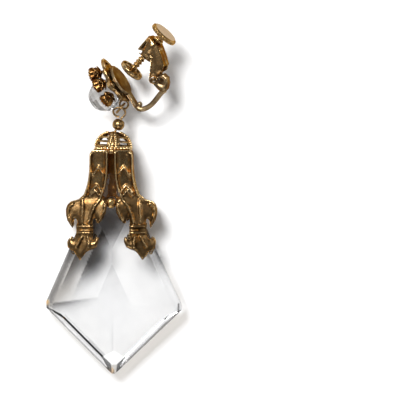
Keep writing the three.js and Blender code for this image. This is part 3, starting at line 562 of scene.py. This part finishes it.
# Dark and light bands in the three lower corners
CORNER_REACH, BAND, BAND_DARK, BAND_SHIFT = 1.5, 0.9, 0.5, 0.4
CORNER_DARK, CORNER_LIGHT = 0.12, 0.8

# Where brass is mirrored in the corners: x, y and radius, and the share of it that is fully warm
GLINTS = [(-14.75, 1.1, 0.85), (-1.0, -14.0, 1.3)]
GLINT_CORE = 0.4


def side_run(side, x, y):
    """How far inside a side of the crystal a place is."""
    (from_x, from_y), (to_x, to_y) = SIDES[side]
    length = math.hypot(to_x - from_x, to_y - from_y)
    return (-(to_y - from_y) * (x - from_x) + (to_x - from_x) * (y - from_y)) / length


def facing_side(normal):
    """The side that a front facet falls towards, or TABLE where it is flat."""
    flat = Vector((normal.x, normal.y, 0))
    if flat.length < LEVEL_SLOPE:
        return TABLE
    outward = []
    for (from_x, from_y), (to_x, to_y) in SIDES:
        outward.append(flat.normalized().dot(Vector((to_y - from_y, from_x - to_x, 0)).normalized()))
    return outward.index(max(outward))


def strip_shade(side, run, y):
    """The shade of a strip along a side, or of the table, before the cap darkens it."""
    shade = TABLE_SHADE - TABLE_DARKER * soft(y, *TABLE_FADE)
    for low, high, first, last in STRIPS[side]:
        if low <= run <= high:
            shade = first + (last - first) * soft(run, low, min(high, low + STRIP_REACH))
    on_bevel = side == UPPER_LEFT and run <= BEVEL
    most, start, end = UPPER_LEFT_BEVEL_FADE if on_bevel else FADES[side]
    return 1 - (1 - shade) * (1 - most * soft(y, start, end))


def wedge(x, y):
    """How dark the wedge under the line from the left corner is."""
    below = LINE_START[1] + LINE_SLOPE * (x - LINE_START[0]) - y
    if below <= -WEDGE_BLUR or not WEDGE_LEFT < x < WEDGE_RIGHT:
        return 0.0
    depth = WEDGE_DEPTH * soft(below, -WEDGE_BLUR, WEDGE_FULL) * math.exp(-max(below, 0) / WEDGE_REACH)
    return depth * soft(x, *WEDGE_FADE)


def under_cap(x, y):
    """How much of the cap's darkness is mirrored below it."""
    across = soft(abs(x - CAP_X), *MIRRORED_ACROSS)
    return MIRRORED * soft(y, *MIRRORED_RISE) * soft(y, *MIRRORED_END) * across


def crystal_shade(place, normal):
    """Shade of a facet at a place: its strip's own, fading to white away from the cap."""
    x, y, _ = place
    if normal.z < FRONT_SLOPE:
        return BACK_SHADE if normal.z < BACK_SLOPE else RIM_SHADE
    side = facing_side(normal)
    shade = strip_shade(side, side_run(side, x, y) if side != TABLE else 0, y)
    if side_run(LOWER_LEFT, x, y) > WEDGE_INSET:
        shade = min(shade, 1 - wedge(x, y))
    if side == LOWER_LEFT and abs(x - RIDGE_X) < RIDGE_HALF:
        shade -= RIDGE_DARKER * soft(x, *RIDGE_ACROSS) * soft(y, *RIDGE_ALONG)
    if y > CAPPED_START:
        shade = CAPPED_SHADE
    corner_gap = min(math.hypot(x - corner_x, y - corner_y) for corner_x, corner_y in CORNERS[:3])
    if corner_gap < CORNER_REACH and normal.z < BEVEL_SLOPE:
        shade = CORNER_DARK if (x + BAND_SHIFT) % BAND < BAND_DARK else CORNER_LIGHT
    return max(shade - under_cap(x, y), DARKEST)


# The round stone's painted shade: its darker side, how dark it gets and from which slopes, and how its
# facets differ
STONE_DARK_SIDE = Vector((-0.72, -0.66, -0.2)).normalized()
STONE_DARKER, STONE_SLOPES = 0.75, (0.12, 0.8)
RIPPLE_X, RIPPLE_Y, RIPPLE_START = 5.1, 7.3, 2


def stone_shade(place, normal):
    """White table, and brown-grey painted shade on the facets towards the lower left rim."""
    ripple = 0.5 + 0.5 * math.sin(RIPPLE_X * normal.x + RIPPLE_Y * normal.y + RIPPLE_START)
    return 1.0 - STONE_DARKER * soft(normal.dot(STONE_DARK_SIDE), *STONE_SLOPES) * ripple


# Cut stones

WELD = 2e-6
LEVEL_ANGLE, SHARP_ANGLE = 0.004, 0.06


def cut_shape(mesh, group, edge_mm, step_mm):
    """A cut stone in its group's frame: corners welded, edges bevelled, facets split for painting."""
    shape = bmesh.new()
    shape.from_mesh(mesh)
    shape.transform(group.inverted())
    bmesh.ops.remove_doubles(shape, verts=shape.verts, dist=WELD)
    bmesh.ops.dissolve_limit(shape, angle_limit=LEVEL_ANGLE, verts=shape.verts, edges=shape.edges)
    sharp = [edge for edge in shape.edges if edge.is_manifold and edge.calc_face_angle() > SHARP_ANGLE]
    bmesh.ops.bevel(shape, geom=sharp, offset=edge_mm * MM, segments=1, affect="EDGES", clamp_overlap=True)
    bmesh.ops.triangulate(shape, faces=shape.faces)
    spans = [(min(v.co[i] for v in shape.verts), max(v.co[i] for v in shape.verts)) for i in (0, 1)]
    step = step_mm * MM
    for (low, high), across in zip(spans, (Vector((1, 0, 0)), Vector((0, 1, 0)))):
        for k in range(1, int((high - low) / step)):
            everything = shape.verts[:] + shape.edges[:] + shape.faces[:]
            cut = across * (low + k * step)
            bmesh.ops.bisect_plane(shape, geom=everything, plane_co=cut, plane_no=across)
    return shape


def warmth(place, glints):
    """How much of a mirrored piece of brass shows at a place."""
    warm = [soft(math.hypot(place.x - x, place.y - y), radius, GLINT_CORE * radius)
            for x, y, radius in glints]
    return max(warm, default=0.0)


def cut_glass(name, ending, group, shade_at, glints, edge_mm, rim_slope, step_mm):
    """A copy of a cut stone with its facets kept flat and their shade painted on."""
    piece = new_piece(f"{name}_{ending}", frame["nodes"][name].data.copy())
    shape = cut_shape(piece.data, group, edge_mm, step_mm)
    shade, rim, warm = [shape.loops.layers.float.new(word) for word in ("shade", "rim", "warm")]
    for face in shape.faces:
        face.smooth = False
        face.normal_update()
        on_rim = 1.0 if abs(face.normal.z) < rim_slope else 0.0
        for loop in face.loops:
            place = loop.vert.co / MM
            loop[shade] = shade_at(place, face.normal)
            loop[rim] = on_rim
            loop[warm] = warmth(place, glints)
    mesh = bpy.data.meshes.new(piece.name)
    shape.to_mesh(mesh)
    shape.free()
    mesh.transform(group)
    piece.data = mesh
    finish(piece, name, (name,))


# Made pieces

def shape_piece(name, parts, group, node, stands_for=(), voxel_mm=0, passes=0):
    """Joins parts, each (vertices in mm, faces), into one piece of a group."""
    points, faces = [], []
    for part_points, part_faces in parts:
        first = len(points)
        points += [tuple(Vector(p) * MM) for p in part_points]
        faces += [[first + i for i in face] for face in part_faces]
    mesh = bpy.data.meshes.new(name)
    mesh.from_pydata(points, [], faces)
    mesh.transform(group)
    mesh.shade_smooth()
    piece = new_piece(name, mesh)
    if voxel_mm:
        melt(piece, voxel_mm, passes)
    paint_relief(piece, *MADE_RELIEF)
    finish(piece, node, stands_for)


def granule(centre, radius, rings=6, sides=10):
    """A small ball."""
    centre = Vector(centre)
    points = [centre + Vector((0, 0, radius)), centre - Vector((0, 0, radius))]
    for row in range(1, rings):
        polar = math.pi * row / rings
        for side in range(sides):
            turn = 2 * math.pi * side / sides
            across = math.sin(polar)
            out = Vector((across * math.cos(turn), across * math.sin(turn), math.cos(polar)))
            points.append(centre + radius * out)

    def at(row, side):
        return 2 + (row - 1) * sides + side % sides

    faces = []
    for side in range(sides):
        faces.append([0, at(1, side), at(1, side + 1)])
        faces.append([1, at(rings - 1, side + 1), at(rings - 1, side)])
        for row in range(1, rings - 1):
            faces.append([at(row, side), at(row + 1, side), at(row + 1, side + 1), at(row, side + 1)])
    return points, faces


def spun(profile, sides, wave):
    """A closed profile of (radius, height) turned about +Z. wave changes the radius round the turn."""
    points, faces = [], []
    for side in range(sides):
        turn = 2 * math.pi * side / sides
        for radius, height in profile:
            reach = radius * wave(turn, radius, height)
            points.append(Vector((reach * math.cos(turn), reach * math.sin(turn), height)))
    count = len(profile)
    for side in range(sides):
        after = (side + 1) % sides
        for i in range(count):
            j = (i + 1) % count
            faces.append([side * count + i, after * count + i, after * count + j, side * count + j])
    return points, faces


def placed(part, matrix):
    return [matrix @ Vector(p) for p in part[0]], part[1]


def facing(direction, origin):
    turn = Vector(direction).normalized().to_track_quat("Z", "Y").to_matrix().to_4x4()
    return Matrix.Translation(Vector(origin)) @ turn


PETAL_THICKNESS = 0.16
PETAL_STEPS = 7
PETAL_CUP = 0.1
PETAL_START, PETAL_SPAN, PETAL_BLUNT, PETAL_TIP = 0.12, 0.86, 0.8, 0.04


def petal(length, width, curl):
    """A pointed petal along +X that curls up towards its tip."""
    points, faces = [], []
    for layer in (0, 1):
        for i in range(PETAL_STEPS + 1):
            share = i / PETAL_STEPS
            swell = math.sin(math.pi * (PETAL_START + PETAL_SPAN * share)) ** PETAL_BLUNT
            half = 0.5 * width * (swell + PETAL_TIP)
            lift = curl * share ** 2 + layer * PETAL_THICKNESS
            for side in (-1, 0, 1):
                points.append(Vector((length * share, side * half, lift + PETAL_CUP * abs(side))))
    over = 3 * (PETAL_STEPS + 1)
    for i in range(PETAL_STEPS):
        for j in (0, 1):
            low = i * 3 + j
            faces.append([low, low + 3, low + 4, low + 1])
            faces.append([over + low, over + low + 1, over + low + 4, over + low + 3])
        for j in (0, 2):
            edge = [i * 3 + j, i * 3 + j + 3, over + i * 3 + j + 3, over + i * 3 + j]
            faces.append(edge[::-1] if j == 0 else edge)
    for i in (0, PETAL_STEPS):
        for j in (0, 1):
            edge = [i * 3 + j, i * 3 + j + 1, over + i * 3 + j + 1, over + i * 3 + j]
            faces.append(edge if i == 0 else edge[::-1])
    return points, faces


# Florets: the place on the plate and the way each axis points, in the clip's frame
FLORETS = {
    "floret_top": ((3.61, 2.4), (-2.86, 1.03, 0.0)),
    "floret_middle": ((1.4, 3.75), (-2.8, 0.25, 0.25)),
    "floret_lower": ((-1.75, 3.7), (-1.9, -0.5, 1.5)),
}
FLORET_LENGTH = 3.0
FLORET_RIM = 1.5
FLORET_SIDES = 42
FLORET_VOXEL, FLORET_PASSES = 0.06, 2
STAND_OFF, STAND_OFF_LEANING = 0.3, 0.5
ON_AXIS = 0.001

# A floret's half section: radius as a share of the rim, height as a share of the length
CUP = [(0, 0), (1 / 3, 0), (0.28, 0.2), (0.78, 0.4), (0.86, 0.52), (0.98, 0.74), (0.94, 0.86),
       (0.7, 0.84), (0.62, 0.9), (0.36, 0.99), (0, 1.02)]

# Its six lobes, and the granules round its rim
LOBES, LOBE_DEPTH, LOBE_FROM, LOBE_TO = 6, 0.09, 0.3, 0.8
RIM_GRANULES, RIM_GRANULE, RIM_GRANULE_OUT, RIM_GRANULE_UP = 12, 0.2, 0.86, 0.87

# Rows of six petals: length, width, curl, how far out and up they start, lean, and turn in steps
PETAL_ROWS = [
    (1.2, 0.95, 0.3, 0.3, 0.16, -0.5, 0.5),
    (1.5, 1.1, 0.35, 0.25, 0.05, -0.2, 0),
    (2.0, 1.35, -0.2, 0.2, 0.02, -0.85, 0.5),
]
PETALS = 6


def lobed(turn, radius, height):
    share = height / FLORET_LENGTH
    if not LOBE_FROM < share < LOBE_TO:
        return 1
    return 1 + LOBE_DEPTH * math.cos(LOBES * turn) * min(radius / FLORET_RIM, 1)


def make_floret(name, place, axis):
    """A cup with lobes, granules on its rim and petals at its foot."""
    aim = Vector(axis).normalized()
    stand_off = STAND_OFF + STAND_OFF_LEANING * math.hypot(aim.y, aim.z)
    profile = [(max(out * FLORET_RIM, ON_AXIS), up * FLORET_LENGTH) for out, up in CUP]
    parts = [spun(profile, FLORET_SIDES, lobed)]
    for i in range(RIM_GRANULES):
        turn = 2 * math.pi * i / RIM_GRANULES
        out = RIM_GRANULE_OUT * FLORET_RIM
        centre = (out * math.cos(turn), out * math.sin(turn), RIM_GRANULE_UP * FLORET_LENGTH)
        parts.append(granule(centre, RIM_GRANULE))
    for length, width, curl, out, up, lean, shift in PETAL_ROWS:
        root = Matrix.Translation(Vector((out, 0, up * FLORET_LENGTH))) @ Matrix.Rotation(lean, 4, "Y")
        for i in range(PETALS):
            spin = Matrix.Rotation(2 * math.pi * (i + shift) / PETALS, 4, "Z")
            parts.append(placed(petal(length, width, curl), spin @ root))
    matrix = facing(aim, (-stand_off, *place))
    parts = [placed(part, matrix) for part in parts]
    shape_piece(f"{name}_cast", parts, CLIP, name, (name,), FLORET_VOXEL, FLORET_PASSES)


# Granules soldered along the dome's foot and its four double ribs
DOME_RADIUS, DOME_HEIGHT, DOME_POWER = 3.83, 3.4, 2.2
DOME_X, DOME_Y, LID_Y, DOME_TURN = -0.07, 35.2, 35.0, -3
UPWARD = Matrix.Rotation(math.radians(-90), 4, "X")
DOME = (Matrix.Translation(Vector((DOME_X, DOME_Y, 0)))
        @ Matrix.Rotation(math.radians(DOME_TURN), 4, "Z") @ UPWARD)
LID = Matrix.Translation(Vector((DOME_X, LID_Y, 0))) @ UPWARD
FOOT_GRANULES, FOOT_GRANULE = 32, 0.38
RIBS, RIB_GRANULES, RIB_GRANULE = 4, 8, 0.29
RIB_START, RIB_SPAN, RIB_HALF, RIB_TAPER, RIB_PROUD = 0.08, 0.86, 0.75, 0.75, 0.05


def dome_radius(share):
    return DOME_RADIUS * math.sqrt(1 - min(share, 1) ** DOME_POWER)


def make_dome_granules():
    parts = []
    on_lid = DOME.inverted() @ LID
    for i in range(FOOT_GRANULES):
        turn = 2 * math.pi * (i + 0.5) / FOOT_GRANULES
        centre = (DOME_RADIUS * math.cos(turn), DOME_RADIUS * math.sin(turn), 0)
        parts.append(placed(granule(centre, FOOT_GRANULE), on_lid))
    for rib in range(RIBS):
        spin = Matrix.Rotation(2 * math.pi * rib / RIBS, 4, "Z")
        for side in (-1, 1):
            for i in range(RIB_GRANULES):
                share = RIB_START + RIB_SPAN * i / (RIB_GRANULES - 1)
                across = side * RIB_HALF * (1 - RIB_TAPER * share)
                centre = (dome_radius(share) + RIB_PROUD, across, share * DOME_HEIGHT)
                parts.append(placed(granule(centre, RIB_GRANULE), spin))
    shape_piece("filigree_granules", [placed(part, DOME) for part in parts], DROP, "filigree_dome")


# Table, lights and camera

def make_table():
    m = Nodes("white_table")
    m.shader.inputs["Roughness"].default_value = TABLE_ROUGHNESS
    m.join(m.ramp(m.noise(TABLE_PATCH_MM, 2), TABLE_WHITES), m.shader.inputs["Base Color"])
    mesh = bpy.data.meshes.new("table")
    corners = [(x * TABLE_HALF, y * TABLE_HALF, 0) for x, y in ((-1, -1), (1, -1), (1, 1), (-1, 1))]
    mesh.from_pydata(corners, [], [(0, 1, 2, 3)])
    mesh.materials.append(m.material)
    table = new_piece("table", mesh)
    table.location = (*VIEW_CENTRE, -TABLE_DROP)


def area_light(name, place, size, power):
    light = bpy.data.lights.new(name, "AREA")
    light.shape = "RECTANGLE"
    light.size, light.size_y = size
    light.energy = power
    holder = bpy.data.objects.new(name, light)
    holder.location = place
    holder.rotation_euler = (-Vector(place)).to_track_quat("-Z", "Y").to_euler()
    bpy.context.scene.collection.objects.link(holder)


def make_studio():
    world = bpy.data.worlds.new("studio")
    bpy.context.scene.world = world
    world.use_nodes = True
    tree = world.node_tree
    background = tree.nodes["Background"]
    direction = tree.nodes.new("ShaderNodeTexCoord").outputs["Generated"]
    split = tree.nodes.new("ShaderNodeSeparateXYZ")
    tree.links.new(direction, split.inputs[0])
    ramp = tree.nodes.new("ShaderNodeValToRGB")
    set_stops(ramp, [(at, (grey, grey, grey * STUDIO_BLUE)) for at, grey in STUDIO])
    tree.links.new(split.outputs["Z"], ramp.inputs["Fac"])
    tree.links.new(ramp.outputs["Color"], background.inputs["Color"])
    across = tree.nodes.new("ShaderNodeMapRange")
    set_range(across, -1, 1, STUDIO_LEFT, STUDIO_RIGHT)
    tree.links.new(split.outputs["X"], across.inputs["Value"])
    tree.links.new(across.outputs["Result"], background.inputs["Strength"])


def make_camera():
    data = bpy.data.cameras.new("above")
    data.sensor_width = SENSOR
    data.lens = SENSOR * (CAMERA_HEIGHT - FOCUS_HEIGHT) / (IMAGE * PIXEL)
    data.clip_start = NEAREST
    camera = bpy.data.objects.new("above", data)
    camera.location = (*VIEW_CENTRE, CAMERA_HEIGHT)
    bpy.context.scene.collection.objects.link(camera)
    bpy.context.scene.camera = camera


# Solid, ending of the piece's name, voxel in mm, softening passes, and its own sculpting
CAST = [
    ("fleur_cap", "cast", 0.15, 7, sculpt_cap),
    ("crystal_pin", "turned", 0.08, 4),
    ("filigree_dome", "cast", 0.075, 3),
    ("link_bead", "round", 0.07, 10),
    ("eye_pin", "drawn", 0.06, 5),
    ("link_ring", "drawn", 0.06, 5),
    ("flower_plate", "cast", 0.08, 3),
    ("clip_base", "cast", 0.08, 4, pillow(1.2, 0.4, 0.5)),
    ("hinge_pin", "turned", 0.07, 4),
    ("clip_paddle", "stamped", 0.08, 3, pillow(2.1, 0.42, 0.7)),
    ("thumb_screw", "turned", 0.065, 2, mark_disc),
    ("screw_pad", "turned", 0.07, 5),
]
for row in CAST:
    dress(*row)
for floret_name, (floret_place, floret_axis) in FLORETS.items():
    make_floret(floret_name, floret_place, floret_axis)
make_dome_granules()
cut_glass("crystal_drop", "cut", DROP, crystal_shade, GLINTS, edge_mm=0.07, rim_slope=0.86, step_mm=0.32)
cut_glass("large_stone", "cut", EARRING, stone_shade, (), edge_mm=0.05, rim_slope=0.3, step_mm=0.3)

bpy.context.scene.view_settings.view_transform = "Standard"
make_table()
make_studio()
for light_row in LIGHTS:
    area_light(*light_row)
make_camera()
